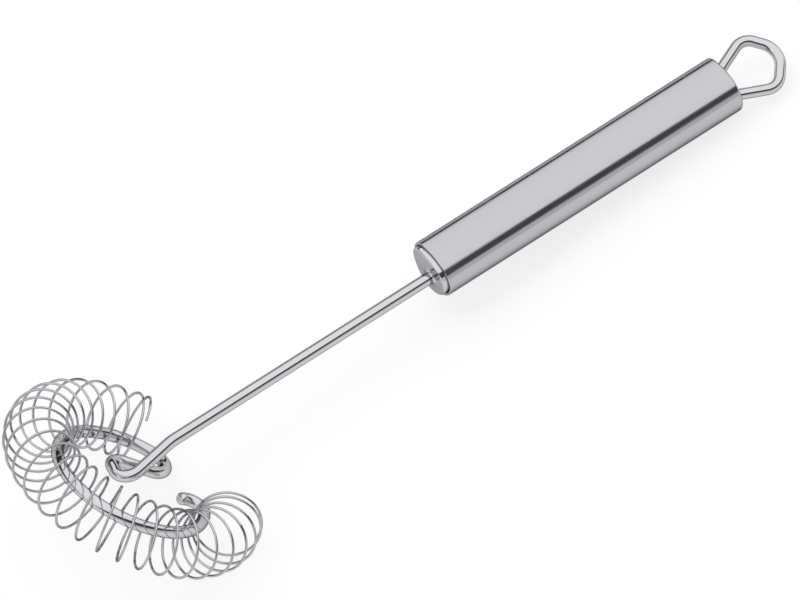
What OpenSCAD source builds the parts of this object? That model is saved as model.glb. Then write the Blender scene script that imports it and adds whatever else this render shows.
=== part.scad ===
// Spiral whisk, lying at rest on a table. Lengths in mm, angles in degrees.
// X runs from the spring head to the hanging loop, Z is up from the table.
// Everything is worked out in the frame of the ring (its middle at 0, its axis Z)
// and laid on the table at the end by place().

/* [Ring wire] */
// Thickness of the polished wire of stem and ring
wire_d = 3.8; // [3:0.1:4.5]
// Radius of the ring, to the middle of its wire
ring_r = 23.9; // [23.8:0.1:27]
// Where the ring begins, next to the hairpin
ring_start = 87; // [80:1:92]
// Where the ring ends and its tail turns inward
ring_end = 374; // [370:1:380]
// Bend radius of the hairpin between leg and ring
hairpin_r = 5.9; // [5:0.1:7]
// Direction of the leg in the plane of the ring
leg_angle = 23; // [18:1:28]
// Length from the hairpin to the corner of the jog
leg_len = 14.5; // [13:0.5:17]
// Length of the jog that leads the leg to the middle
jog_len = 14.3; // [13.6:0.1:18]
// Direction of the jog in the plane of the ring
jog_angle = -53; // [-58:1:-48]
// Bend radius at both ends of the jog
jog_r = 4.2; // [3.5:0.1:4.4]
// Bend radius of the tail that keeps the spring on
tail_r = 4.2; // [3.5:0.1:5]
// How far the tail turns inward
tail_turn = 125; // [90:5:140]
// Straight end of the tail
tail_len = 2; // [1:0.5:4]

/* [Stem] */
// Height of the slight bend of the stem above the plane of the ring
bend_height = 12.2; // [10:0.2:16]
// How far that bend lies sideways of the foot of the stem
bend_side = 16.9; // [14:0.1:19]
// Direction of the lowest piece of the stem, seen along the ring axis
foot_azimuth = 69.7; // [60:0.1:80]
// Radius of that bend
bend_r = 16; // [10:1:30]
// Straight stem between the bend and the handle
stem_len = 98.3; // [80:0.1:120]
// Direction of the handle, seen along the ring axis
handle_azimuth = 57; // [52:1:62]
// Rise of the handle above the plane of the ring
handle_rise = 36; // [30:1:42]
// Turn of the egg-shaped handle about its length
handle_roll = 32; // [0:1:60]

/* [Spring] */
// Thickness of the spring wire
coil_wire = 0.8; // [0.7:0.05:0.9]
// Radius of the spring, to the middle of its wire
coil_r = 10; // [9.8:0.1:11]
// Radius of the line round which the spring is wound
coil_axis_r = 31; // [30.8:0.1:31.2]
// Height of that line above the plane of the ring
coil_lift = 1.2; // [0:0.1:1.4]
// Number of turns
coil_turns = 26.4; // [20:0.1:30]
// Where the first turn starts round the ring
coil_start = 102; // [98:1:110]
// Where the last turn ends round the ring
coil_end = 371; // [360:1:371]
// Advance of the closed turn at each end
closed_step = 3.6; // [3.5:0.1:5]
// Side of the turn on which the wire begins
coil_phase = -135; // [-180:5:180]

/* [Handle] */
// Length of the handle tube
tube_len = 110.6; // [90:0.1:130]
// Radius of the fat side of the egg-shaped section
fat_r = 7.4; // [7:0.1:8.5]
// Radius of the narrow side of the section
narrow_r = 4.6; // [4:0.1:5.5]
// Distance between the middles of both sides
egg_step = 6.2; // [5:0.1:7]
// Radius of the flanks that join both sides
flank_r = 13.7; // [13:0.1:16]
// Wall of the tube
wall = 0.9; // [0.7:0.05:1.5]
// Length of the front cap inside the tube
cap_depth = 8; // [4:0.5:15]
// How far the front cap stands out of the tube
cap_out = 1.7; // [1:0.1:3]
// Radius of the slight dome of the front cap
cap_dome_r = 55; // [40:1:200]
// Radius of the slight dome of the rear end
rear_dome_r = 45; // [35:1:200]
// Thickness of the rear cap
rear_cap_t = 4; // [2:0.5:8]
// How far the stem reaches into the tube behind its front rim
stem_in = 14; // [8:0.5:30]
// Radius of the weld round the stem
weld_r = 3.1; // [2.6:0.1:4]
// Height of that weld above the cap
weld_h = 0.7; // [0.3:0.1:1.2]
// Depth of its seat in the cap
weld_seat = 0.5; // [0.3:0.1:1]
// Width of its narrow end round the stem
weld_lip = 0.35; // [0.2:0.05:0.5]

/* [Hanging loop] */
// Thickness of the wire of the loop
loop_d = 3.4; // [2.8:0.1:3.6]
// Half the distance between the legs where they leave the handle
loop_leg = 4.35; // [4:0.05:5]
// Middle of both legs, from the middle of the stem toward the narrow side
loop_shift = 1.3; // [0:0.1:2]
// Where the legs turn toward the top of the loop
loop_corner_x = 12.2; // [11:0.1:14]
// Half the width of the loop at its corners
loop_corner_y = 9.3; // [8.5:0.1:11]
// Corner of the far end of the loop, before rounding
loop_top = 20.3; // [19:0.1:24]
// Bend radius where the legs leave the handle
loop_foot_r = 4; // [3:0.1:5]
// Bend radius at the side corners
loop_side_r = 5; // [4:0.1:5.5]
// Bend radius at the far end
loop_top_r = 6.6; // [5:0.1:7]
// Depth of the legs inside the handle
loop_in = 9; // [6:0.5:20]
// Turn of the loop about the length of the handle
loop_turn = -12; // [-20:1:20]

/* [Hidden] */
$fn = 72;

steel = [0.78, 0.79, 0.80];
polished = [0.86, 0.87, 0.88];

// Vector help
function unit(v) = v / norm(v);
function flat_dir(a) = [cos(a), sin(a), 0];

// Directions of the handle in the frame of the ring
h_dir = [cos(handle_azimuth) * cos(handle_rise), sin(handle_azimuth) * cos(handle_rise),
         sin(handle_rise)];
q_dir = [-sin(handle_azimuth), cos(handle_azimuth), 0];
g_dir = cross(h_dir, q_dir);
y_dir = cos(handle_roll) * q_dir + sin(handle_roll) * g_dir;
z_dir = cross(h_dir, y_dir);

// Corners of the wire, from the middle of the ring outward
hairpin_mid = (ring_r - hairpin_r) * flat_dir(ring_start);
leg_start = hairpin_mid + hairpin_r * flat_dir(leg_angle - 90);
jog_top = leg_start - leg_len * flat_dir(leg_angle);
foot = jog_top + jog_len * flat_dir(jog_angle);
bend_at = foot + bend_side * flat_dir(foot_azimuth) + [0, 0, bend_height];
tube_front = bend_at + stem_len * h_dir;
stem_top = tube_front + stem_in * h_dir;
wire_points = [stem_top, bend_at, foot, jog_top, leg_start];
wire_radii = [0, bend_r, jog_r, jog_r, 0];
tail_mid = (ring_r - tail_r) * flat_dir(ring_end);
tail_from = tail_mid + tail_r * flat_dir(ring_end + tail_turn);
tail_tip = tail_from + tail_len * flat_dir(ring_end + tail_turn + 90);

// A wire is a skin on a list of [middle, direction, side] stations, without a twist
function arc_of(mid, u, v, r, turn, n) = [for (i = [1 : n]) let (a = turn * i / n)
    [mid + r * (cos(a) * u + sin(a) * v), cos(a) * v - sin(a) * u]];
function turn_at(pts, i) =
    acos(unit(pts[i] - pts[i - 1]) * unit(pts[i + 1] - pts[i]));
function corner_of(pts, rad, i) =
    let (a = unit(pts[i] - pts[i - 1]), b = unit(pts[i + 1] - pts[i]), s = unit(b - (b * a) * a),
        from = pts[i] - rad[i] * tan(turn_at(pts, i) / 2) * a)
    concat([[from, a]],
        arc_of(from + rad[i] * s, -s, a, rad[i], turn_at(pts, i), ceil(turn_at(pts, i) / 12)));
function path_of(pts, rad) = let (n = len(pts) - 1)
    concat([[pts[0], unit(pts[1] - pts[0])]],
        [for (i = [1 : n - 1]) for (p = corner_of(pts, rad, i)) p],
        [[pts[n], unit(pts[n] - pts[n - 1])]]);
function skin_of(path, side, d, n) = [for (p = path)
    let (a = unit(side - (side * p[1]) * p[1]), b = cross(p[1], a))
    for (j = [0 : n - 1]) p[0] + d / 2 * (cos(360 * j / n) * a + sin(360 * j / n) * b)];
function faces_of(m, n) = concat(
    [for (i = [0 : m - 2]) for (j = [0 : n - 1])
        [i * n + j, (i + 1) * n + j, (i + 1) * n + (j + 1) % n]],
    [for (i = [0 : m - 2]) for (j = [0 : n - 1])
        [i * n + j, (i + 1) * n + (j + 1) % n, i * n + (j + 1) % n]],
    [for (j = [1 : n - 2]) [0, j, j + 1]],
    [for (j = [1 : n - 2]) [(m - 1) * n, (m - 1) * n + j + 1, (m - 1) * n + j]]);

// Stem, jog, leg, hairpin, ring and tail in one piece
wire_sides = 16;
wire_path = concat(path_of(wire_points, wire_radii),
    arc_of(hairpin_mid, flat_dir(leg_angle - 90), flat_dir(leg_angle), hairpin_r,
        ring_start + 90 - leg_angle, 13),
    arc_of([0, 0, 0], flat_dir(ring_start), flat_dir(ring_start + 90), ring_r,
        ring_end - ring_start, 48),
    arc_of(tail_mid, flat_dir(ring_end), flat_dir(ring_end + 90), tail_r, tail_turn, 10),
    [[tail_tip, flat_dir(ring_end + tail_turn + 90)]]);

// The spring: a wire wound round a circle, with a closed turn at each end
rings_per_turn = 20;
sides = 6;
ring_count = floor(coil_turns * rings_per_turn);
pitch_step = (coil_end - coil_start - 2 * closed_step) / (coil_turns - 2);
function coil_angle(s) = s < 1 ? coil_start + closed_step * s
    : s > coil_turns - 1 ? coil_end - closed_step * (coil_turns - s)
    : coil_start + closed_step + pitch_step * (s - 1);
function coil_point(s) =
    let (a = coil_angle(s), p = coil_phase + 360 * s)
    (coil_axis_r + coil_r * cos(p)) * flat_dir(a)
    + [0, 0, coil_lift - coil_r * sin(p)];
function coil_out(s) =
    let (a = coil_angle(s), p = coil_phase + 360 * s)
    cos(p) * flat_dir(a) - [0, 0, sin(p)];
coil_s = [for (i = [0 : ring_count]) i * coil_turns / ring_count];
coil_mid = [for (s = coil_s) coil_point(s)];
function coil_tangent(i) = unit(coil_mid[min(i + 1, ring_count)] - coil_mid[max(i - 1, 0)]);
coil_skin = [for (i = [0 : ring_count])
    let (t = coil_tangent(i), o = coil_out(coil_s[i]), a = unit(o - (o * t) * t), b = cross(t, a))
    for (j = [0 : sides - 1])
        coil_mid[i] + coil_wire / 2 * (cos(360 * j / sides) * a + sin(360 * j / sides) * b)];
coil_faces = faces_of(ring_count + 1, sides);

// Least gap of the spring to itself, and to the wire of the ring
half_turn = floor(rings_per_turn / 2);
self_gap = min([for (i = [0 : ring_count - half_turn])
    min([for (k = [half_turn : min(rings_per_turn + half_turn, ring_count - i)])
        norm(coil_mid[i] - coil_mid[i + k])])]) - coil_wire;
function ring_gap(p) = norm([norm([p[0], p[1]]) - ring_r, p[2]]);
chord_in = coil_r * (1 - cos(180 / rings_per_turn));
wire_gap = min([for (p = coil_mid) ring_gap(p)]) - coil_wire / 2 - wire_d / 2 - chord_in;
echo(least_gap_of_spring_to_itself = self_gap, least_gap_of_spring_to_ring = wire_gap);

// The egg-shaped section, fat side round 0, narrow side toward +y; t is taken off all round
flank_y = -(pow(flank_r - narrow_r, 2) - pow(flank_r - fat_r, 2) - pow(egg_step, 2))
    / (2 * egg_step);
flank_z = sqrt(pow(flank_r - fat_r, 2) - pow(flank_y, 2));
fat_turn = atan2(flank_z, -flank_y);
narrow_turn = atan2(flank_z, egg_step - flank_y);
function egg_point(a, t) =
    a > 180 ? let (p = egg_point(360 - a, t)) [p[0], -p[1]]
    : a < narrow_turn ? [egg_step + (narrow_r - t) * cos(a), (narrow_r - t) * sin(a)]
    : a < fat_turn ? [flank_y + (flank_r - t) * cos(a), (flank_r - t) * sin(a) - flank_z]
    : [(fat_r - t) * cos(a), (fat_r - t) * sin(a)];
egg_rim = [for (a = [0 : 3 : 357]) egg_point(a, 0)];

// Rear end: the plane of the rim, domed
rear_mid_y = egg_step / 2 + (narrow_r - fat_r) / 2;
function rear_x(p) = tube_len - rear_dome_r
    + sqrt(pow(rear_dome_r, 2) - pow(p[0] - rear_mid_y, 2) - pow(p[1], 2));
function on_axis(x, y, z) = tube_front + x * h_dir + y * y_dir + z * z_dir;
rear_rim = [for (p = egg_rim) on_axis(rear_x(p), p[0], p[1])];

// Tilt of the handle that lets both the spring and the rear end touch the table
function up_at(t) = cos(t) * g_dir + sin(t) * h_dir;
function low_of(points, v) = min([for (p = points) p * v]);
function rest_tilt(a, b, n) = n == 0 ? (a + b) / 2
    : let (m = (a + b) / 2, v = up_at(m))
    low_of(coil_skin, v) < low_of(rear_rim, v) ? rest_tilt(a, m, n - 1) : rest_tilt(m, b, n - 1);
tilt = rest_tilt(-20, 20, 16);
up = up_at(tilt);
ahead = cos(tilt) * h_dir - sin(tilt) * g_dir;

// The loop, in the frame of the handle: x behind the rear end, y sideways
function loop_at(x, y) = let (a = loop_turn)
    [tube_len + x, loop_shift + y * cos(a), y * sin(a)];
loop_points = [loop_at(-loop_in, -loop_leg), loop_at(0, -loop_leg),
    loop_at(loop_corner_x, -loop_corner_y), loop_at(loop_top, 0),
    loop_at(loop_corner_x, loop_corner_y), loop_at(0, loop_leg), loop_at(-loop_in, loop_leg)];
loop_radii = [0, loop_foot_r, loop_side_r, loop_top_r, loop_side_r, loop_foot_r, 0];
top_half = atan2(loop_corner_y, loop_top - loop_corner_x);
loop_reach = loop_top - loop_top_r * (1 / sin(top_half) - 1) + loop_d / 2;
loop_far = on_axis(tube_len + loop_reach - loop_d / 2, loop_shift, 0) * ahead + loop_d / 2;

// Box of the whole part, for the origin in the middle of its foot
low_x = low_of(coil_skin, ahead);
high_x = loop_far;
low_y = low_of(coil_skin, q_dir);
high_y = -low_of(coil_skin, -q_dir);
low_z = min(low_of(coil_skin, up), low_of(rear_rim, up));
shift = [-(low_x + high_x) / 2, -(low_y + high_y) / 2, -low_z];
function put(p) = [p * ahead, p * q_dir, p * up] + shift;
function turned(v) = [v * ahead, v * q_dir, v * up];
echo(tilt = tilt, size_x = high_x - low_x, size_y = high_y - low_y);
echo(ring_mid = put([0, 0, 0]), ring_axis = turned([0, 0, 1]));
echo(ring_x = turned([1, 0, 0]), ring_y = turned([0, 1, 0]));
echo(tube_front = put(tube_front), h_dir = turned(h_dir), y_dir = turned(y_dir));
echo(z_dir = turned(z_dir), loop_mid = put(on_axis(tube_len + 10, loop_shift, 0)));

// Lays a piece that is drawn in the frame of the ring on the table
module place() {
    multmatrix([
        [ahead[0], ahead[1], ahead[2], shift[0]],
        [q_dir[0], q_dir[1], q_dir[2], shift[1]],
        [up[0], up[1], up[2], shift[2]],
        [0, 0, 0, 1]])
        children();
}

// Same for a piece in the frame of the handle: x along it, front rim at 0
module on_handle() {
    place()
        axes(h_dir, y_dir, z_dir, tube_front)
            children();
}

module axes(a, b, c, at) {
    multmatrix([
        [a[0], b[0], c[0], at[0]],
        [a[1], b[1], c[1], at[1]],
        [a[2], b[2], c[2], at[2]],
        [0, 0, 0, 1]])
        children();
}

// A wire along its stations; side is a direction that the wire never takes
module wire(path, side, d, n) {
    polyhedron(points = skin_of(path, side, d, n), faces = faces_of(len(path), n),
               convexity = 10);
}

// The section of the handle, t smaller all round
module egg(t) {
    polygon([for (a = [0 : 5 : 355]) egg_point(a, t)]);
}

// An egg-shaped bar along x from a to b
module egg_bar(a, b, t) {
    multmatrix([[0, 0, 1, a], [1, 0, 0, 0], [0, 1, 0, 0], [0, 0, 0, 1]])
        linear_extrude(height = b - a)
            egg(t);
}

module rear_ball() {
    translate([tube_len - rear_dome_r, rear_mid_y, 0])
        sphere(r = rear_dome_r, $fn = 180);
}

module along_x(x) {
    translate([x, 0, 0])
        rotate([0, 90, 0])
            children();
}

// The matt tube that the hand holds
module handle_tube() {
    color(steel)
        on_handle()
            difference() {
                intersection() {
                    egg_bar(0, tube_len + 1, 0);
                    union() {
                        egg_bar(-1, tube_len - rear_dome_r / 2, -1);
                        rear_ball();
                    }
                }
                egg_bar(-1, tube_len + 2, wall);
            }
}

// The polished plug in the front end, with the bore for the stem
module front_cap() {
    color(polished)
        on_handle()
            difference() {
                intersection() {
                    egg_bar(-cap_out, cap_depth, wall);
                    translate([cap_dome_r - cap_out, 0, 0])
                        sphere(r = cap_dome_r, $fn = 180);
                }
                along_x(-cap_out - 1)
                    cylinder(h = cap_depth + cap_out + 2, d = wire_d);
                along_x(-cap_out - 1)
                    cylinder(h = 1 + weld_seat, r = weld_r);
            }
}

// The plate in the rear end, with two bores for the legs of the loop
module rear_cap() {
    color(steel)
        on_handle()
            difference() {
                intersection() {
                    egg_bar(tube_len - rear_cap_t, tube_len + 1, wall);
                    rear_ball();
                }
                loop_leg_bar(-1);
                loop_leg_bar(1);
            }
}

module loop_leg_bar(side) {
    p = loop_at(-rear_cap_t - 1, side * loop_leg);
    translate(p)
        rotate([0, 90, 0])
            cylinder(h = rear_cap_t + 3, d = loop_d);
}

// The round wire loop for a hook
module hanging_loop() {
    color(polished)
        on_handle()
            wire(path_of(loop_points, loop_radii), [0, -sin(loop_turn), cos(loop_turn)],
                 loop_d, 14);
}

// One wire: stem, jog, leg, hairpin, ring and tail
module whisk_wire() {
    color(polished)
        place()
            wire(wire_path, [0, 0, 1], wire_d, wire_sides);
}

// The bead of weld that holds the stem in the front cap
module stem_weld() {
    color(polished)
        on_handle()
            difference() {
                along_x(-cap_out - weld_h)
                    cylinder(h = weld_h + weld_seat, r1 = wire_d / 2 + weld_lip, r2 = weld_r);
                along_x(-cap_out - weld_h - 1)
                    cylinder(h = weld_h + 3, d = wire_d);
            }
}

// The loose spring of thin wire that is threaded over the ring
module whisk_spring() {
    color(polished)
        place()
            polyhedron(points = coil_skin, faces = coil_faces, convexity = 10);
}

handle_tube();
front_cap();
rear_cap();
hanging_loop();
whisk_wire();
stem_weld();
whisk_spring();
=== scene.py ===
"""Looks of the spiral whisk: matt egg-section handle, polished front cap and wires, loose spring."""

import math

import bpy
import bmesh
from bpy.props import FloatProperty, FloatVectorProperty, IntProperty, PointerProperty
from mathutils import Matrix, Vector


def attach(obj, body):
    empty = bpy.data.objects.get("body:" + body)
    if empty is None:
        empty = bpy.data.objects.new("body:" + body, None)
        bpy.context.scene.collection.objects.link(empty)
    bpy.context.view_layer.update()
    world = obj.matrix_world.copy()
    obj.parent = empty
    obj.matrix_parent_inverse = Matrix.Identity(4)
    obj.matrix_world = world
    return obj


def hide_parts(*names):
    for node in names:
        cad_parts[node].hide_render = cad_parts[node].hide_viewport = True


bl_info = {
    "name": "Spiral Whisk",
    "version": (1, 0, 0),
    "blender": (4, 5, 0),
    "location": "View3D > Sidebar > Whisk",
    "description": "Builds the pieces of a spiral whisk with its spring wound by a rule",
    "category": "Add Mesh",
}

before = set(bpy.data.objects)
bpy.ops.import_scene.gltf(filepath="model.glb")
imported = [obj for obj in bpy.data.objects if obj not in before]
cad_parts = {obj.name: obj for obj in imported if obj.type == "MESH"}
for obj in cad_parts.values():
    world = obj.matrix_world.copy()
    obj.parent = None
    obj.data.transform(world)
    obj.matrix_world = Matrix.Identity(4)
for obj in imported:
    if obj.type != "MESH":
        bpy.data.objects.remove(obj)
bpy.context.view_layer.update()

MM = 0.001

# Where the ring lies: its middle, its two directions and its axis, in the frame of the part
RING_MID = Vector((-105.957, 0.0561, 21.9518)) * MM
RING_X = Vector((0.41443, -0.838671, -0.353382))
RING_Y = Vector((0.638167, 0.544639, -0.544161))
RING_AXIS = Vector((0.648838, 0.0, 0.760927))

# Where the handle lies: the middle of its front rim at the stem, along it, sideways and outward
TUBE_FRONT = Vector((8.98935, 2.55087, 15.9035)) * MM
ALONG = Vector((0.99698, 0.0, -0.0776594))
ASIDE = Vector((0.0411532, 0.848048, 0.528319))
OUTWARD = Vector((0.0658589, -0.529919, 0.845487))

# Points round the egg-shaped section, the weld, the thick wires and the spring wire
EGG_POINTS = 180
WELD_POINTS = 64
WIRE_SIDES = 32
SPRING_SIDES = 12
# Steps round each edge of the front rim, the edge of the rear rim and of the front cap, the
# slope of the weld and a cut wire end
FRONT_RIM_STEPS = 6
REAR_RIM_STEPS = 10
CAP_EDGE_STEPS = 8
WELD_STEPS = 8
CUT_STEPS = 4
# Largest turn between two stations of a wire, in a corner and in a long arc
CORNER_STEP = math.radians(4)
ARC_STEP = math.radians(3)
# Distance of the first plain ring of points from a rim of the handle
RIM_BAND = 2 * MM
# Shares of the way from the edge of the front cap to its bore at which the face has a ring
FACE_SHARES = (0.12, 0.3, 0.5, 0.7, 0.85, 0.95, 1.0)
# Rings of the rear cap, as shares of its outline: on its domed face and on its hidden back
REAR_FACE_SHARES = (0.97, 0.9, 0.7, 0.5, 0.3, 0.1)
REAR_BACK_SHARES = (0.1, 1.0)
# How far the weld bites into the stem, so that no gap shows, and the power that hollows its slope
WELD_BITE = 0.02 * MM
WELD_HOLLOW = 1.5
# Rounding of a cut wire end, as a share of the wire's thickness
CUT_ROUND = 0.3
# Points of a wire nearer than this, in metres, are one point
MERGE = 1e-7

# A low edge tint is painted shade: it darkens every metal along its grazing edges into the dark
# outline that a bright bar shows against a pale ground
PAINTED_EDGE_SHADE = 0.22

# Brightness of what the metal mirrors: the canopy of a light tent, its sides and two dark strips
CANOPY = 1.2
CANOPY_TOP = 1.25
TENT_SIDE = 0.8
NEAR_STRIP = 0.08
FAR_STRIP = 0.03
# Where they are, by the angle about the handle in degrees, from its outward side toward ASIDE
BANDS = [(-180, TENT_SIDE), (-41, TENT_SIDE), (-36, NEAR_STRIP), (-9, NEAR_STRIP), (-6, CANOPY),
         (30, CANOPY_TOP), (90, CANOPY), (94, FAR_STRIP), (109, FAR_STRIP), (114, TENT_SIDE),
         (180, TENT_SIDE)]
# Share of that brightness at the horizon, and the slope of the view at which all of it holds
HORIZON_SHARE = 0.5
HORIZON_SLOPE = 0.06

# The floor: half its width, how far it lies below the whisk, and how much of its light is its
# own glow, seen directly and in reflections
FLOOR_HALF = 8.0
FLOOR_DROP = 0.2 * MM
GLOW_SEEN = 0.75
GLOW_MIRRORED = 0.4

# The softbox above the whisk: its place and size in metres, and its power in watts
LAMP_PLACE = (-0.3, 0.5, 1.6)
LAMP_SIZE = (1.2, 1.2)
LAMP_POWER = 7.0

# The photograph's view: right, up and back toward the lens
VIEW_RIGHT = Vector((0.784, -0.6143, -0.0889))
VIEW_UP = Vector((0.5458, 0.6141, 0.5702))
VIEW_BACK = Vector((-0.2958, -0.4954, 0.8168))
# Distance of the lens in metres, which leaves next to no perspective
VIEW_DISTANCE = 8.2
# The photograph's scale, and the depth at which it holds: half way along the whisk
PIXELS_PER_MM = 3.4
MIDDLE_DEPTH = -0.042
# Place of the middle of the ring in the photograph, and the photograph's size, in pixels
RING_PIXEL = (128.95, 481.17)
IMAGE_SIZE = (800, 600)
# Width of the camera's sensor in millimetres, and how far it sees in metres
SENSOR_WIDTH = 36.0
SIGHT = 50.0


# Sizes and colours that the sidebar shows


def length(name, description, default):
    """A length, with its default in millimetres."""
    return FloatProperty(name=name, description=description, default=default * MM,
                         min=0.0, subtype="DISTANCE", unit="LENGTH")


def angle(name, description, default):
    """An angle, with its default in degrees."""
    return FloatProperty(name=name, description=description, default=math.radians(default),
                         subtype="ANGLE", unit="ROTATION")


def hex_linear(code):
    """Turns an sRGB hex value into linear colour."""
    parts = [int(code[i:i + 2], 16) / 255 for i in (1, 3, 5)]
    return tuple(p / 12.92 if p <= 0.04045 else ((p + 0.055) / 1.055) ** 2.4 for p in parts)


def colour(name, description, code):
    """A colour, with its default as an sRGB hex value."""
    return FloatVectorProperty(name=name, description=description, default=hex_linear(code),
                               size=3, min=0.0, max=1.0, subtype="COLOR")


class WhiskWireSizes(bpy.types.PropertyGroup):
    """Sizes of the one wire of stem, jog, leg, hairpin, ring and tail"""

    wire: length("Wire", "Thickness of the stem and ring wire", 3.8)
    ring: length("Ring radius", "Radius of the ring to the middle of its wire", 23.9)
    ring_start: angle("Ring start", "Where the ring begins, next to the hairpin", 87)
    ring_end: angle("Ring end", "Where the ring ends and its tail turns inward", 374)
    hairpin: length("Hairpin radius", "Bend radius between leg and ring", 5.9)
    leg_angle: angle("Leg direction", "Direction of the leg in the plane of the ring", 23)
    leg: length("Leg", "Length from the hairpin to the corner of the jog", 14.5)
    jog: length("Jog", "Length of the jog that leads the leg to the middle", 14.3)
    jog_angle: angle("Jog direction", "Direction of the jog in the plane of the ring", -53)
    jog_bend: length("Jog bend", "Bend radius at both ends of the jog", 4.2)
    tail: length("Tail bend", "Bend radius of the tail that keeps the spring on", 4.2)
    tail_turn: angle("Tail turn", "How far the tail turns inward", 125)
    tail_end: length("Tail end", "Straight end of the tail", 2.0)
    bend_height: length("Bend height", "Height of the bend of the stem above the ring", 12.2)
    bend_side: length("Bend offset", "How far that bend lies sideways of the foot", 16.9)
    foot_angle: angle("Foot direction", "Direction of the lowest piece of the stem", 69.7)
    bend: length("Stem bend", "Radius of the slight bend of the stem", 16.0)
    stem: length("Stem", "Straight stem between its bend and the handle", 98.3)
    stem_in: length("Stem inside", "How far the stem reaches into the handle", 14.0)


class WhiskSpringSizes(bpy.types.PropertyGroup):
    """Sizes of the loose spring"""

    wire: length("Spring wire", "Thickness of the spring wire", 0.8)
    radius: length("Spring radius", "Radius of a turn to the middle of its wire", 10.0)
    axis: length("Axis radius", "Radius of the line round which the spring is wound", 31.0)
    lift: length("Lift", "Height of that line above the plane of the ring", 1.2)
    turns: FloatProperty(name="Turns", description="Number of turns", default=26.4, min=4.0)
    start: angle("Start", "Where the first turn starts round the ring", 102)
    end: angle("End", "Where the last turn ends round the ring", 371)
    closed: angle("Closed step", "Advance of the closed turn at each end", 3.6)
    phase: angle("Phase", "Side of the turn on which the wire begins", -135)
    rings: IntProperty(name="Rings a turn", description="Stations along one turn", default=48)


class WhiskHandleSizes(bpy.types.PropertyGroup):
    """Sizes of the handle, its caps, the weld and the hanging loop"""

    tube: length("Tube", "Length of the handle tube", 110.6)
    fat: length("Fat side", "Radius of the fat side of the section", 7.4)
    narrow: length("Narrow side", "Radius of the narrow side of the section", 4.6)
    step: length("Step", "Distance between the middles of both sides", 6.2)
    flank: length("Flank", "Radius of the flanks", 13.7)
    wall: length("Wall", "Wall of the tube", 0.9)
    front_rim: length("Front rim", "Radius of both edges of the front rim", 0.28)
    rear_rim: length("Rear rim", "Radius of the rolled edge of the rear rim", 0.85)
    rear_back: length("Rear rim back", "How far the rear rim lies before the top of its dome", 0.7)
    cap_depth: length("Cap depth", "Length of the front cap inside the tube", 8.0)
    cap_out: length("Cap out", "How far the front cap stands out of the tube", 1.7)
    cap_dome: length("Cap dome", "Radius of the dome of the front cap", 250.0)
    cap_gap: length("Cap gap", "Gap between the front cap and the tube", 0.12)
    cap_edge: length("Cap edge", "Radius of the edge of the front cap", 0.65)
    rear_dome: length("Rear dome", "Radius of the dome of the rear end", 45.0)
    rear_cap: length("Rear cap", "Thickness of the rear cap", 4.0)
    rear_gap: length("Rear gap", "Gap between the rear cap and the tube", 0.04)
    rear_edge: length("Rear edge", "How far the edge of the rear cap is rounded down", 0.12)
    weld: length("Weld seat", "Radius of the weld where it sits in the front cap", 3.0)
    weld_in: length("Weld depth", "Depth of that seat", 0.3)
    weld_out: length("Weld bead", "How far the bead of weld stands out past its seat", 0.2)
    weld_height: length("Weld height", "Height of the bead above the cap", 0.65)
    loop_wire: length("Loop wire", "Thickness of the wire of the hanging loop", 3.4)
    loop_leg: length("Loop leg", "Half the distance between the legs of the loop", 4.35)
    loop_shift: length("Loop shift", "Middle of both legs toward the narrow side", 1.3)
    loop_corner_x: length("Corner distance", "Where the legs turn toward the far end", 12.2)
    loop_corner_y: length("Corner half width", "Half the width of the loop at its corners", 9.3)
    loop_top: length("Loop top", "Corner of the far end before rounding", 20.3)
    loop_foot: length("Foot bend", "Bend radius where the legs leave the handle", 4.0)
    loop_side: length("Side bend", "Bend radius at the side corners", 5.0)
    loop_far: length("Far bend", "Bend radius at the far end", 6.6)
    loop_in: length("Legs inside", "Depth of the legs inside the handle", 9.0)
    loop_turn: angle("Loop turn", "Turn of the loop about the length of the handle", -12)


class WhiskFinish(bpy.types.PropertyGroup):
    """Colours of the metals and the floor"""

    tube: colour("Tube", "Brushed stainless steel of the handle", "#B8B8BC")
    polished: colour("Polished", "Polished steel of the front cap and the wires", "#C7C7CA")
    spring: colour("Spring", "Bright drawn spring wire", "#B9B9BD")
    floor: colour("Floor", "Plain pale floor", "#F4F4F4")


# Nodes, one function for all kinds


def node(tree, kind, inputs=None, **settings):
    """Adds a node, sets its properties, and fills or links its inputs."""
    made = tree.nodes.new(kind)
    for key, value in settings.items():
        setattr(made, key, value)
    for key, value in (inputs or {}).items():
        socket = made.inputs[key]
        if isinstance(value, bpy.types.NodeSocket):
            tree.links.new(value, socket)
        elif isinstance(value, bpy.types.Node):
            tree.links.new(value.outputs[0], socket)
        else:
            socket.default_value = value
    return made


# Finishes


def metal(name, base):
    """A bare metal with painted shade along its grazing edges, to which each finish adds its own
    roughness.
    """
    material = bpy.data.materials.new(name)
    material.use_nodes = True
    tree = material.node_tree
    tree.nodes.clear()
    # The specular tint paints dark shade along the grazing edges of every metal
    shader = node(tree, "ShaderNodeBsdfPrincipled",
                  {"Base Color": (*base, 1.0), "Metallic": 1.0,
                   "Specular Tint": (PAINTED_EDGE_SHADE, PAINTED_EDGE_SHADE, PAINTED_EDGE_SHADE, 1.0)})
    node(tree, "ShaderNodeOutputMaterial", {"Surface": shader})
    return material, tree, shader


def stained_metal(name, base, stain, detail, smooth, rough):
    """A bright metal with faint stains of a given size, between a smooth and a rough place."""
    material, tree, shader = metal(name, base)
    place = node(tree, "ShaderNodeTexCoord")
    cloud = node(tree, "ShaderNodeTexNoise", {"Vector": place.outputs["Object"],
                                              "Scale": 1 / stain, "Detail": detail})
    blur = node(tree, "ShaderNodeMapRange", {"Value": cloud, "To Min": smooth, "To Max": rough})
    tree.links.new(blur.outputs[0], shader.inputs["Roughness"])
    return material


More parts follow.
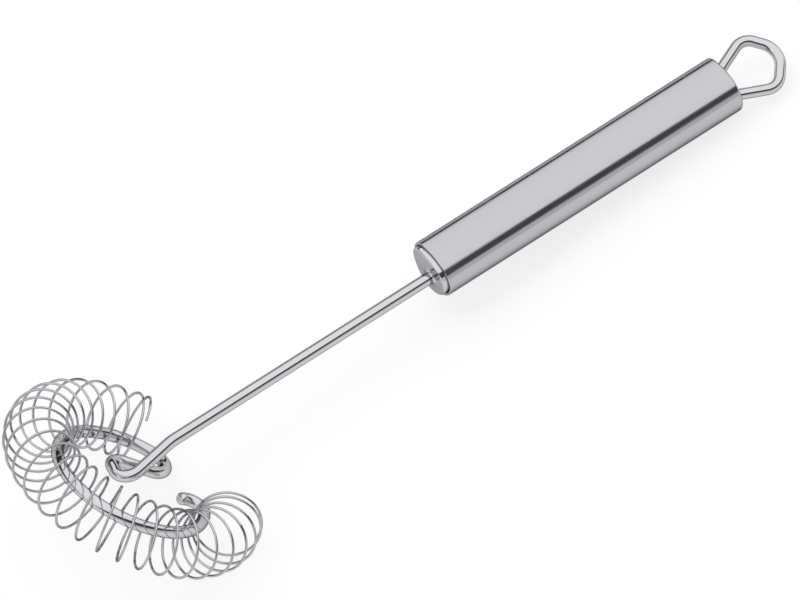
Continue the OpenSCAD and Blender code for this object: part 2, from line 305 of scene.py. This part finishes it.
def brushed_stainless_tube(finish):
    """Stainless steel tube, matt brushed along its length: soft streaks that blur the light."""
    material, tree, shader = metal("stainless_steel_matt_brushed", finish.tube)
    # Brush lines are about 0.05 mm apart; they are drawn 0.4 mm apart so that they show at all,
    # and squeezed to this share along the handle, which makes them 50 times as long as wide
    line_gap = 0.4 * MM
    squeeze = 0.02
    # Clouds of uneven matting are about 17 mm across and weaker than the lines
    cloud_size = 16.667 * MM
    cloud_share = 0.35
    place = node(tree, "ShaderNodeTexCoord").outputs["Object"]
    to_handle = Matrix((ALONG, ASIDE, OUTWARD)).to_euler()
    turned = node(tree, "ShaderNodeMapping", {"Vector": place, "Rotation": tuple(to_handle)})
    stretched = node(tree, "ShaderNodeMapping", {"Vector": turned,
                                                 "Scale": (squeeze, 1.0, 1.0)})
    grain = node(tree, "ShaderNodeTexNoise", {"Vector": stretched, "Scale": 1 / line_gap,
                                              "Detail": 4.0, "Roughness": 0.6})
    cloud = node(tree, "ShaderNodeTexNoise", {"Vector": place, "Scale": 1 / cloud_size,
                                              "Detail": 2.0})
    faint = node(tree, "ShaderNodeMath", {0: cloud, 1: cloud_share}, operation="MULTIPLY")
    mixed = node(tree, "ShaderNodeMath", {0: grain, 1: faint}, operation="ADD")
    blur = node(tree, "ShaderNodeMapRange", {"Value": mixed, "From Min": 0.4, "From Max": 0.95,
                                             "To Min": 0.13, "To Max": 0.21})
    tree.links.new(blur.outputs[0], shader.inputs["Roughness"])
    bump = node(tree, "ShaderNodeBump", {"Height": grain, "Strength": 0.12,
                                         "Distance": 0.05 * MM})
    tree.links.new(bump.outputs[0], shader.inputs["Normal"])
    return material


def polished_stainless_cap(finish):
    """Stainless steel cap, turned and polished: clear reflections with faint wipe marks."""
    # Wipe marks of a cloth are about 3 mm across
    return stained_metal("stainless_steel_polished", finish.polished, stain=2.857 * MM,
                         detail=3.0, smooth=0.04, rough=0.1)


def drawn_stainless_wire(finish):
    """Stainless round wire, drawn through a die and polished: a clear mirror, faintly uneven."""
    # Die marks of about 0.1 mm are too fine to show, so they are drawn as stains of 2.5 mm
    return stained_metal("stainless_wire_drawn_polished", finish.polished, stain=2.5 * MM,
                         detail=4.0, smooth=0.04, rough=0.1)


def spring_wire(finish):
    """Stainless spring wire, bright drawn: a hard narrow highlight on a thin wire."""
    # Its die marks are finer still, and are drawn as stains of 2 mm
    return stained_metal("stainless_spring_wire_bright_drawn", finish.spring, stain=2 * MM,
                         detail=2.0, smooth=0.05, rough=0.12)


FINISHES = {"brushed_tube": brushed_stainless_tube, "polished_cap": polished_stainless_cap,
            "polished_wire": drawn_stainless_wire, "spring_wire": spring_wire}


def finish_for(slot):
    """Makes each finish once and hands it out by the name of its slot."""
    scene = bpy.context.scene
    key = "finish_" + slot
    if key not in scene:
        scene[key] = FINISHES[slot](scene.whisk_finish).name
    return bpy.data.materials[scene[key]]


# Places


def ring_point(point):
    """A point given in the frame of the ring."""
    return RING_MID + point[0] * RING_X + point[1] * RING_Y + point[2] * RING_AXIS


def handle_point(x, y, z):
    """A point given in the frame of the handle."""
    return TUBE_FRONT + x * ALONG + y * ASIDE + z * OUTWARD


def flat(turn):
    """A direction in the plane of the ring."""
    return Vector((math.cos(turn), math.sin(turn), 0.0))


def around(count):
    """Even angles of a full turn."""
    return [2 * math.pi * i / count for i in range(count)]


# Pieces


def placed(name, data):
    """Adds an object to the scene."""
    made = bpy.data.objects.new(name, data)
    bpy.context.scene.collection.objects.link(made)
    return made


def hand_over(piece, body, slot, *nodes):
    """Gives a finished piece its smooth shading, body and slot, and hides the CAD nodes that it
    replaces.
    """
    for face in piece.data.polygons:
        face.use_smooth = True
    if not piece.data.materials:
        piece.data.materials.append(finish_for(slot))
    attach(piece, body)
    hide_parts(*nodes)


def mesh_piece(name, rings, closed, poles=False):
    """Joins rings of points into a skin. closed joins the last ring to the first, and poles
    closes the first and the last ring on a point in their middle."""
    mesh = bpy.data.meshes.new(name)
    count = len(rings[0])
    points = [p for ring in rings for p in ring]
    faces = []
    pairs = list(zip(range(len(rings)), range(1, len(rings))))
    if closed:
        pairs.append((len(rings) - 1, 0))
    for first, second in pairs:
        for j in range(count):
            k = (j + 1) % count
            faces.append((first * count + j, first * count + k,
                          second * count + k, second * count + j))
    if poles:
        for ring in (0, len(rings) - 1):
            points.append(sum(rings[ring], Vector()) / count)
            for j in range(count):
                faces.append((ring * count + j, ring * count + (j + 1) % count, len(points) - 1))
    mesh.from_pydata([tuple(p) for p in points], [], faces)
    build = bmesh.new()
    build.from_mesh(mesh)
    bmesh.ops.recalc_face_normals(build, faces=build.faces)
    build.to_mesh(mesh)
    build.free()
    return placed(name, mesh)


# The handle


def egg_point(sizes, turn, inset):
    """The point of the section, inset from its outline, at which its normal has that angle."""
    turn = turn % (2 * math.pi)
    if turn > math.pi:
        y, z = egg_point(sizes, 2 * math.pi - turn, inset)
        return y, -z
    to_fat = sizes.flank - sizes.fat
    to_narrow = sizes.flank - sizes.narrow
    flank_y = -(to_narrow ** 2 - to_fat ** 2 - sizes.step ** 2) / (2 * sizes.step)
    flank_z = math.sqrt(to_fat ** 2 - flank_y ** 2)
    if turn < math.atan2(flank_z, sizes.step - flank_y):
        radius = sizes.narrow - inset
        return sizes.step + radius * math.cos(turn), radius * math.sin(turn)
    if turn < math.atan2(flank_z, -flank_y):
        radius = sizes.flank - inset
        return flank_y + radius * math.cos(turn), radius * math.sin(turn) - flank_z
    radius = sizes.fat - inset
    return radius * math.cos(turn), radius * math.sin(turn)


def egg_ring(sizes, x, inset):
    """Points round the section at x along the handle, inset from its outline."""
    return [handle_point(x, *egg_point(sizes, turn, inset)) for turn in around(EGG_POINTS)]


def round_ring(x, radius, count):
    """Points round the stem at x along the handle, at a radius from its middle."""
    return [handle_point(x, radius * math.cos(turn), radius * math.sin(turn))
            for turn in around(count)]


def round_edge(x, inset, radius, first, last, steps):
    """Stations of a rounded edge round the point x, inset, from one angle to another."""
    turns = [math.radians(first + (last - first) * i / steps) for i in range(steps + 1)]
    return [(x + radius * math.cos(turn), inset + radius * math.sin(turn)) for turn in turns]


class WHISK_OT_handle_tube(bpy.types.Operator):
    """Lofts the hollow tube along its egg-shaped section, with a rolled front and rear rim"""

    bl_idname = "whisk.handle_tube"
    bl_label = "Handle tube"

    def execute(self, context):
        sizes = context.scene.whisk_handle
        rear = sizes.tube - sizes.rear_back
        edge = sizes.front_rim
        soft = sizes.rear_rim
        stations = [(rear - RIM_BAND, sizes.wall), (sizes.cap_depth, sizes.wall)]
        stations += round_edge(edge, sizes.wall - edge, edge, 90, 180, FRONT_RIM_STEPS)
        stations += round_edge(edge, edge, edge, 180, 270, FRONT_RIM_STEPS)
        stations += [(x, 0.0) for x in (RIM_BAND, sizes.tube / 3, 2 * sizes.tube / 3)]
        stations += round_edge(rear - soft, soft, soft, -90, 0, REAR_RIM_STEPS)
        rings = [egg_ring(sizes, x, inset) for x, inset in stations]
        piece = mesh_piece("matt_handle_tube", rings, True)
        hand_over(piece, "frame", "brushed_tube", "handle_tube")
        return {"FINISHED"}


class WHISK_OT_front_cap(bpy.types.Operator):
    """Lofts the polished plug, from its rounded edge over the domed face into the bore"""

    bl_idname = "whisk.front_cap"
    bl_label = "Front cap"

    def execute(self, context):
        sizes = context.scene.whisk_handle
        bore = context.scene.whisk_wire.wire / 2
        side = sizes.wall + sizes.cap_gap
        edge = sizes.cap_edge

        def dome(y, z):
            """Place of the domed face along the handle."""
            away = math.hypot(y, z)
            return sizes.cap_dome - sizes.cap_out - math.sqrt(sizes.cap_dome ** 2 - away ** 2)

        rings = [egg_ring(sizes, x, side) for x in (sizes.cap_depth, RIM_BAND)]
        for step in range(CAP_EDGE_STEPS + 1):
            bend = math.radians(90 * step / CAP_EDGE_STEPS)
            ring = []
            for turn in around(EGG_POINTS):
                y, z = egg_point(sizes, turn, side + edge * (1 - math.cos(bend)))
                face = dome(*egg_point(sizes, turn, side + edge))
                ring.append(handle_point(face + edge * (1 - math.sin(bend)), y, z))
            rings.append(ring)
        for share in FACE_SHARES:
            ring = []
            for turn in around(EGG_POINTS):
                y, z = egg_point(sizes, turn, side + edge)
                y = y + (bore * math.cos(turn) - y) * share
                z = z + (bore * math.sin(turn) - z) * share
                ring.append(handle_point(dome(y, z), y, z))
            rings.append(ring)
        rings.append(round_ring(sizes.cap_depth, bore, EGG_POINTS))
        piece = mesh_piece("polished_front_cap", rings, True)
        hand_over(piece, "frame", "polished_cap", "front_cap")
        return {"FINISHED"}


class WHISK_OT_rear_cap(bpy.types.Operator):
    """Closes the rear end with a slightly domed plate"""

    bl_idname = "whisk.rear_cap"
    bl_label = "Rear cap"

    def execute(self, context):
        sizes = context.scene.whisk_handle
        middle = sizes.step / 2 + (sizes.narrow - sizes.fat) / 2
        side = sizes.wall + sizes.rear_gap

        def dome(y, z):
            """Place of the domed face along the handle."""
            away = math.hypot(y - middle, z)
            return sizes.tube - sizes.rear_dome + math.sqrt(sizes.rear_dome ** 2 - away ** 2)

        def rim(y, z):
            """Place of the rounded edge."""
            return dome(y, z) - sizes.rear_edge

        def back(y, z):
            """Place of the hidden back, which is flat."""
            return sizes.tube - sizes.rear_cap

        def plate_ring(place, inset, share):
            """Points round the plate at that place, drawn in to a share of the outline."""
            ring = []
            for turn in around(EGG_POINTS):
                y, z = egg_point(sizes, turn, inset)
                y = middle + (y - middle) * share
                z = z * share
                ring.append(handle_point(place(y, z), y, z))
            return ring

        rings = [plate_ring(back, sizes.wall, share) for share in REAR_BACK_SHARES]
        rings.append(plate_ring(rim, side, 1.0))
        rings += [plate_ring(dome, side, share) for share in REAR_FACE_SHARES]
        piece = mesh_piece("matt_rear_cap", rings, False, poles=True)
        hand_over(piece, "frame", "brushed_tube", "rear_cap")
        return {"FINISHED"}


class WHISK_OT_stem_weld(bpy.types.Operator):
    """Turns the small bead of weld that holds the stem in the front cap"""

    bl_idname = "whisk.stem_weld"
    bl_label = "Stem weld"

    def execute(self, context):
        sizes = context.scene.whisk_handle
        inner = context.scene.whisk_wire.wire / 2 - WELD_BITE
        face = -sizes.cap_out
        stations = [(face + sizes.weld_in, inner), (face - sizes.weld_height, inner)]
        for step in range(1, WELD_STEPS + 1):
            turn = math.radians(90 * step / WELD_STEPS)
            x = face - sizes.weld_height * (1 - math.sin(turn)) ** WELD_HOLLOW
            radius = inner + (sizes.weld - inner) * (1 - math.cos(turn))
            stations.append((x, radius + sizes.weld_out * math.sin(turn)))
        stations.append((face + sizes.weld_in, sizes.weld))
        rings = [round_ring(x, radius, WELD_POINTS) for x, radius in stations]
        piece = mesh_piece("stem_weld_bead", rings, True)
        hand_over(piece, "frame", "polished_cap", "stem_weld")
        return {"FINISHED"}


# Paths of the bent wires


def rounded_path(points, radii):
    """Corners of a bent wire, each rounded with its own radius."""
    path = [points[0]]
    for before, corner, after, radius in zip(points, points[1:], points[2:], radii[1:]):
        onward = (corner - before).normalized()
        away = (after - corner).normalized()
        turn = onward.angle(away)
        side = (away - away.dot(onward) * onward).normalized()
        start = corner - radius * math.tan(turn / 2) * onward
        count = max(2, math.ceil(turn / CORNER_STEP))
        for i in range(count + 1):
            bent = turn * i / count
            swing = math.sin(bent) * onward - math.cos(bent) * side
            path.append(start + radius * side + radius * swing)
    path.append(points[-1])
    return path


def arc(middle, radius, first, last):
    """Stations of an arc in the plane of the ring, without its first point."""
    count = max(2, math.ceil(abs(last - first) / ARC_STEP))
    turns = [first + (last - first) * i / count for i in range(1, count + 1)]
    return [middle + radius * flat(turn) for turn in turns]


# Geometry Nodes


def wire_group(name, numbers, counts):
    """Starts a tree that makes a wire, with its inputs by name."""
    tree = bpy.data.node_groups.new(name, "GeometryNodeTree")
    sockets = [("Base", "Geometry"), *((number, "Float") for number in numbers),
               *((count, "Int") for count in counts), ("Material", "Material")]
    for label, kind in sockets:
        tree.interface.new_socket(label, in_out="INPUT", socket_type="NodeSocket" + kind)
    tree.interface.new_socket("Wire", in_out="OUTPUT", socket_type="NodeSocketGeometry")
    return tree, node(tree, "NodeGroupInput").outputs


def sweep(tree, given, stations):
    """Ends such a tree: sweeps a round wire along its stations and gives it its material."""
    path = node(tree, "GeometryNodeMeshToCurve", {"Mesh": stations})
    half = node(tree, "ShaderNodeMath", {0: given["Wire Thickness"], 1: 0.5},
                operation="MULTIPLY")
    profile = node(tree, "GeometryNodeCurvePrimitiveCircle",
                   {"Resolution": given["Sides"], "Radius": half})
    skin = node(tree, "GeometryNodeCurveToMesh",
                {"Curve": path, "Profile Curve": profile.outputs["Curve"], "Fill Caps": True})
    whole = node(tree, "GeometryNodeRealizeInstances", {"Geometry": skin})
    dressed = node(tree, "GeometryNodeSetMaterial",
                   {"Geometry": whole, "Material": given["Material"]})
    node(tree, "NodeGroupOutput", {"Wire": dressed})


def bent_wire_tree():
    """Sweeps a round wire of a given thickness along the path that it sits on."""
    tree, given = wire_group("round_wire_on_path", ("Wire Thickness",), ("Sides",))
    sweep(tree, given, given["Base"])
    return tree


# The rule of the spring: each line names a value, how it is worked out, and from what. Turn is
# how many turns the wire has made at a station. The first and the last turn are closed ones.
SPRING_RULE = (
    ("All Steps", "MULTIPLY", "Turns", "Rings a Turn"),
    ("Steps", "CEIL", "All Steps"),
    ("Stations", "ADD", "Steps", 1.0),
    ("Share", "DIVIDE", "Index", "Steps"),
    ("Turn", "MULTIPLY", "Share", "Turns"),
    ("Open Turns", "SUBTRACT", "Turns", 2.0),
    ("Span", "SUBTRACT", "End", "Start"),
    ("Closed Span", "MULTIPLY", "Closed Step", 2.0),
    ("Open Span", "SUBTRACT", "Span", "Closed Span"),
    ("Pitch", "DIVIDE", "Open Span", "Open Turns"),
    ("In First", "MINIMUM", "Turn", 1.0),
    ("After First", "SUBTRACT", "Turn", 1.0),
    ("Past First", "MAXIMUM", "After First", 0.0),
    ("In Open", "MINIMUM", "Past First", "Open Turns"),
    ("Open End", "ADD", "Open Turns", 1.0),
    ("After Open", "SUBTRACT", "Turn", "Open End"),
    ("In Last", "MAXIMUM", "After Open", 0.0),
    ("In Closed", "ADD", "In First", "In Last"),
    ("Closed Way", "MULTIPLY", "In Closed", "Closed Step"),
    ("Closed Place", "ADD", "Start", "Closed Way"),
    ("Open Way", "MULTIPLY", "In Open", "Pitch"),
    ("Place", "ADD", "Closed Place", "Open Way"),
    ("Round", "MULTIPLY_ADD", "Turn", 2 * math.pi, "Phase"),
    ("Round Cosine", "COSINE", "Round"),
    ("Round Sine", "SINE", "Round"),
    ("Away", "MULTIPLY_ADD", "Round Cosine", "Turn Radius", "Axis Radius"),
    ("Fall", "MULTIPLY", "Round Sine", "Turn Radius"),
    ("Z", "SUBTRACT", "Lift", "Fall"),
    ("Place Cosine", "COSINE", "Place"),
    ("Place Sine", "SINE", "Place"),
    ("X", "MULTIPLY", "Place Cosine", "Away"),
    ("Y", "MULTIPLY", "Place Sine", "Away"),
)


def spring_tree():
    """Winds the spring round the ring by its rule, and sweeps its wire."""
    tree, given = wire_group("spring_round_the_ring",
                             ("Turns", "Turn Radius", "Axis Radius", "Lift", "Start", "End",
                              "Closed Step", "Phase", "Wire Thickness"),
                             ("Rings a Turn", "Sides"))
    known = dict(given.items())
    known["Index"] = node(tree, "GeometryNodeInputIndex").outputs[0]
    for name, operation, *terms in SPRING_RULE:
        inputs = {i: known.get(term, term) for i, term in enumerate(terms)}
        known[name] = node(tree, "ShaderNodeMath", inputs, operation=operation).outputs[0]
    line = node(tree, "GeometryNodeMeshLine", {"Count": known["Stations"]})
    spot = node(tree, "ShaderNodeCombineXYZ", {axis: known[axis] for axis in "XYZ"})
    wound = node(tree, "GeometryNodeSetPosition", {"Geometry": line, "Position": spot})
    sweep(tree, given, wound)
    return tree


def grown(name, base, tree, values):
    """Runs a tree on a base mesh, rounds the cut ends and keeps the result as a plain mesh."""
    seed = placed(name + "_base", base)
    modifier = seed.modifiers.new("grow", "NODES")
    modifier.node_group = tree
    for item in tree.interface.items_tree:
        if item.item_type == "SOCKET" and item.in_out == "INPUT" and item.name in values:
            modifier[item.identifier] = values[item.name]
    bpy.context.view_layer.update()
    result = bpy.data.meshes.new_from_object(
        seed.evaluated_get(bpy.context.evaluated_depsgraph_get()))
    seed.modifiers.remove(modifier)
    bpy.data.objects.remove(seed)
    if not result.vertices:
        raise RuntimeError(name + " grew no mesh")
    build = bmesh.new()
    build.from_mesh(result)
    bmesh.ops.remove_doubles(build, verts=build.verts, dist=MERGE)
    # Only the cut ends have faces of more than four corners
    rims = [edge for edge in build.edges if any(len(face.verts) > 4 for face in edge.link_faces)]
    bmesh.ops.bevel(build, geom=rims, offset=values["Wire Thickness"] * CUT_ROUND,
                    segments=CUT_STEPS, profile=0.5, affect="EDGES")
    bmesh.ops.recalc_face_normals(build, faces=build.faces)
    build.to_mesh(result)
    build.free()
    return placed(name, result)


def bent_wire(name, path, thickness, slot):
    """A round wire bent along a path."""
    line = bpy.data.meshes.new(name + "_path")
    line.from_pydata([tuple(p) for p in path], [(i, i + 1) for i in range(len(path) - 1)], [])
    tree = bpy.data.node_groups.get("round_wire_on_path") or bent_wire_tree()
    return grown(name, line, tree, {"Wire Thickness": thickness, "Sides": WIRE_SIDES,
                                    "Material": finish_for(slot)})


class WHISK_OT_whisk_wire(bpy.types.Operator):
    """Bends the one wire of stem, jog, leg, hairpin, ring and tail"""

    bl_idname = "whisk.whisk_wire"
    bl_label = "Stem and ring wire"

    def execute(self, context):
        sizes = context.scene.whisk_wire
        to_ring = Matrix((RING_X, RING_Y, RING_AXIS))
        hairpin = (sizes.ring - sizes.hairpin) * flat(sizes.ring_start)
        leg_side = sizes.leg_angle - math.pi / 2
        leg = hairpin + sizes.hairpin * flat(leg_side)
        jog = leg - sizes.leg * flat(sizes.leg_angle)
        foot = jog + sizes.jog * flat(sizes.jog_angle)
        rise = Vector((0, 0, sizes.bend_height))
        bend = foot + sizes.bend_side * flat(sizes.foot_angle) + rise
        top = bend + (sizes.stem + sizes.stem_in) * (to_ring @ ALONG)
        path = rounded_path([top, bend, foot, jog, leg],
                            [0, sizes.bend, sizes.jog_bend, sizes.jog_bend, 0])
        path += arc(hairpin, sizes.hairpin, leg_side, sizes.ring_start)
        path += arc(Vector(), sizes.ring, sizes.ring_start, sizes.ring_end)
        tail = (sizes.ring - sizes.tail) * flat(sizes.ring_end)
        tail_last = sizes.ring_end + sizes.tail_turn
        path += arc(tail, sizes.tail, sizes.ring_end, tail_last)
        path.append(path[-1] + sizes.tail_end * flat(tail_last + math.pi / 2))
        piece = bent_wire("stem_and_ring_wire", [ring_point(point) for point in path],
                          sizes.wire, "polished_wire")
        hand_over(piece, "frame", "polished_wire", "whisk_wire")
        return {"FINISHED"}


class WHISK_OT_hanging_loop(bpy.types.Operator):
    """Bends the round wire loop for a hook"""

    bl_idname = "whisk.hanging_loop"
    bl_label = "Hanging loop"

    def execute(self, context):
        sizes = context.scene.whisk_handle
        aside = math.cos(sizes.loop_turn)
        outward = math.sin(sizes.loop_turn)

        def at(x, y):
            """A point of the loop's own plane, x from the rear end and y from its middle."""
            return handle_point(sizes.tube + x, sizes.loop_shift + y * aside, y * outward)

        corners = [at(-sizes.loop_in, -sizes.loop_leg), at(0, -sizes.loop_leg),
                   at(sizes.loop_corner_x, -sizes.loop_corner_y), at(sizes.loop_top, 0),
                   at(sizes.loop_corner_x, sizes.loop_corner_y), at(0, sizes.loop_leg),
                   at(-sizes.loop_in, sizes.loop_leg)]
        radii = [0, sizes.loop_foot, sizes.loop_side, sizes.loop_far, sizes.loop_side,
                 sizes.loop_foot, 0]
        piece = bent_wire("round_wire_hanging_loop", rounded_path(corners, radii),
                          sizes.loop_wire, "polished_wire")
        hand_over(piece, "frame", "polished_wire", "hanging_loop")
        return {"FINISHED"}


class WHISK_OT_whisk_spring(bpy.types.Operator):
    """Winds the loose spring round the ring by a rule"""

    bl_idname = "whisk.whisk_spring"
    bl_label = "Spring"

    def execute(self, context):
        sizes = context.scene.whisk_spring
        base = bpy.data.meshes.new("spring_base")
        piece = grown("loose_coil_spring", base, spring_tree(), {
            "Turns": sizes.turns, "Turn Radius": sizes.radius, "Axis Radius": sizes.axis,
            "Lift": sizes.lift, "Start": sizes.start, "End": sizes.end,
            "Closed Step": sizes.closed, "Phase": sizes.phase, "Wire Thickness": sizes.wire,
            "Rings a Turn": sizes.rings, "Sides": SPRING_SIDES,
            "Material": finish_for("spring_wire")})
        turn = Matrix((RING_X, RING_Y, RING_AXIS)).transposed().to_4x4()
        piece.data.transform(Matrix.Translation(RING_MID) @ turn)
        piece.data.update()
        hand_over(piece, "spring", "spring_wire", "whisk_spring")
        return {"FINISHED"}


# The stage


def paper_white(colour_of_paper):
    """Matt white paper: an even pale ground that keeps a soft shadow.

    Part of what the camera or a reflection sees of it is its own glow.
    """
    paper = bpy.data.materials.new("paper_matt_white")
    paper.use_nodes = True
    tree = paper.node_tree
    tree.nodes.clear()
    ray = node(tree, "ShaderNodeLightPath").outputs
    mirrored = node(tree, "ShaderNodeMath", {0: ray["Is Glossy Ray"],
                                             1: ray["Is Transmission Ray"]},
                    operation="ADD", use_clamp=True)
    dimmed = node(tree, "ShaderNodeMath", {0: mirrored, 1: GLOW_MIRRORED}, operation="MULTIPLY")
    share = node(tree, "ShaderNodeMath", {0: ray["Is Camera Ray"], 1: GLOW_SEEN, 2: dimmed},
                 operation="MULTIPLY_ADD")
    sheet = node(tree, "ShaderNodeBsdfDiffuse", {"Color": (*colour_of_paper, 1.0)})
    glow = node(tree, "ShaderNodeEmission", {"Color": (1, 1, 1, 1), "Strength": 1.0})
    both = node(tree, "ShaderNodeMixShader", {0: share, 1: sheet, 2: glow})
    node(tree, "ShaderNodeOutputMaterial", {"Surface": both})
    return paper


def lay_floor(scene):
    """A wide sheet of paper under the whisk."""
    mesh = bpy.data.meshes.new("pale_floor")
    corners = ((-1, -1), (1, -1), (1, 1), (-1, 1))
    mesh.from_pydata([(x * FLOOR_HALF, y * FLOOR_HALF, -FLOOR_DROP) for x, y in corners],
                     [], [(0, 1, 2, 3)])
    floor = placed("pale_floor", mesh)
    floor.data.materials.append(paper_white(scene.whisk_finish.floor))


def raise_tent(scene):
    """A light tent as the metal mirrors it, and plain white to the camera.

    A round bright bar shows a light canopy, a dark strip just below the viewer and a thin dark
    strip low on the far side, each at its own angle about the length of the handle.
    """
    world = bpy.data.worlds.new("studio")
    scene.world = world
    world.use_nodes = True
    tree = world.node_tree
    tree.nodes.clear()
    way = node(tree, "ShaderNodeTexCoord").outputs["Generated"]
    side, out = (node(tree, "ShaderNodeVectorMath", {0: way, 1: tuple(axis)},
                      operation="DOT_PRODUCT").outputs["Value"] for axis in (ASIDE, OUTWARD))
    about = node(tree, "ShaderNodeMath", {0: side, 1: out}, operation="ARCTAN2")
    ramp_at = node(tree, "ShaderNodeMapRange", {"Value": about, "From Min": -math.pi,
                                                "From Max": math.pi})
    ramp = node(tree, "ShaderNodeValToRGB", {"Fac": ramp_at.outputs[0]})
    stops = ramp.color_ramp.elements
    for degrees, level in BANDS[1:-1]:
        stops.new((degrees + 180) / 360)
    for stop, (degrees, level) in zip(stops, BANDS):
        stop.position = (degrees + 180) / 360
        stop.color = (level, level, level, 1.0)
    slope = node(tree, "ShaderNodeSeparateXYZ", {"Vector": way}).outputs["Z"]
    horizon = node(tree, "ShaderNodeMapRange", {"Value": slope, "From Min": 0.0,
                                                "From Max": HORIZON_SLOPE,
                                                "To Min": HORIZON_SHARE})
    sky = node(tree, "ShaderNodeVectorMath", {0: ramp.outputs[0], 1: horizon.outputs[0]},
               operation="MULTIPLY")
    ray = node(tree, "ShaderNodeLightPath").outputs
    tone = node(tree, "ShaderNodeMix", {0: ray["Is Camera Ray"], 6: sky.outputs[0],
                                        7: (1, 1, 1, 1)}, data_type="RGBA")
    light = node(tree, "ShaderNodeBackground", {"Color": tone.outputs[2], "Strength": 1.0})
    node(tree, "ShaderNodeOutputWorld", {"Surface": light})


def hang_softbox():
    """The lamp that casts the soft shadow. Reflections don't show it, only tent and floor."""
    lamp = bpy.data.lights.new("top_softbox", "AREA")
    lamp.shape = "RECTANGLE"
    lamp.size, lamp.size_y = LAMP_SIZE
    lamp.energy = LAMP_POWER
    made = placed("top_softbox", lamp)
    made.location = LAMP_PLACE
    made.rotation_euler = (-Vector(LAMP_PLACE)).to_track_quat("-Z", "Y").to_euler()
    made.visible_glossy = False


def set_camera(scene):
    """The camera at the photograph's viewing angle and scale."""
    camera = bpy.data.cameras.new("camera")
    camera.sensor_width = SENSOR_WIDTH
    metres_per_pixel = MM / PIXELS_PER_MM
    depth = VIEW_DISTANCE - MIDDLE_DEPTH
    camera.lens = camera.sensor_width * depth / (IMAGE_SIZE[0] * metres_per_pixel)
    camera.clip_end = SIGHT
    eye = placed("camera", camera)
    right = (IMAGE_SIZE[0] / 2 - RING_PIXEL[0]) * metres_per_pixel
    rise = (RING_PIXEL[1] - IMAGE_SIZE[1] / 2) * metres_per_pixel
    aim = RING_MID + right * VIEW_RIGHT + rise * VIEW_UP
    turn = Matrix((VIEW_RIGHT, VIEW_UP, VIEW_BACK)).transposed().to_4x4()
    eye.matrix_world = Matrix.Translation(aim + VIEW_DISTANCE * VIEW_BACK) @ turn
    scene.camera = eye


class WHISK_OT_stage(bpy.types.Operator):
    """Sets up the floor, the soft light and the photograph's view"""

    bl_idname = "whisk.stage"
    bl_label = "Stage and view"

    def execute(self, context):
        scene = context.scene
        scene.view_settings.view_transform = "Standard"
        lay_floor(scene)
        raise_tent(scene)
        hang_softbox()
        set_camera(scene)
        return {"FINISHED"}


# The add-on


STEPS = ("stage", "handle_tube", "front_cap", "rear_cap", "stem_weld", "whisk_wire",
         "hanging_loop", "whisk_spring")

GROUPS = {"whisk_wire": WhiskWireSizes, "whisk_spring": WhiskSpringSizes,
          "whisk_handle": WhiskHandleSizes, "whisk_finish": WhiskFinish}


class WHISK_PT_pieces(bpy.types.Panel):
    """Lists the pieces of the whisk"""

    bl_label = "Spiral Whisk"
    bl_idname = "WHISK_PT_pieces"
    bl_space_type = "VIEW_3D"
    bl_region_type = "UI"
    bl_category = "Whisk"

    def draw(self, context):
        for name in STEPS:
            self.layout.operator("whisk." + name)
        for group in GROUPS:
            sizes = getattr(context.scene, group)
            box = self.layout.box()
            for key in sizes.__annotations__:
                box.prop(sizes, key)


CLASSES = (*GROUPS.values(), WHISK_OT_stage, WHISK_OT_handle_tube, WHISK_OT_front_cap,
           WHISK_OT_rear_cap, WHISK_OT_stem_weld, WHISK_OT_whisk_wire, WHISK_OT_hanging_loop,
           WHISK_OT_whisk_spring, WHISK_PT_pieces)


def register():
    """Adds the sizes, the operators and the panel."""
    for cls in CLASSES:
        bpy.utils.register_class(cls)
    for name, group in GROUPS.items():
        setattr(bpy.types.Scene, name, PointerProperty(type=group))


def unregister():
    """Takes them away again."""
    for name in GROUPS:
        delattr(bpy.types.Scene, name)
    for cls in reversed(CLASSES):
        bpy.utils.unregister_class(cls)


def main():
    """Builds the stage and every piece."""
    register()
    for name in STEPS:
        getattr(bpy.ops.whisk, name)()


if __name__ == "__main__":
    main()
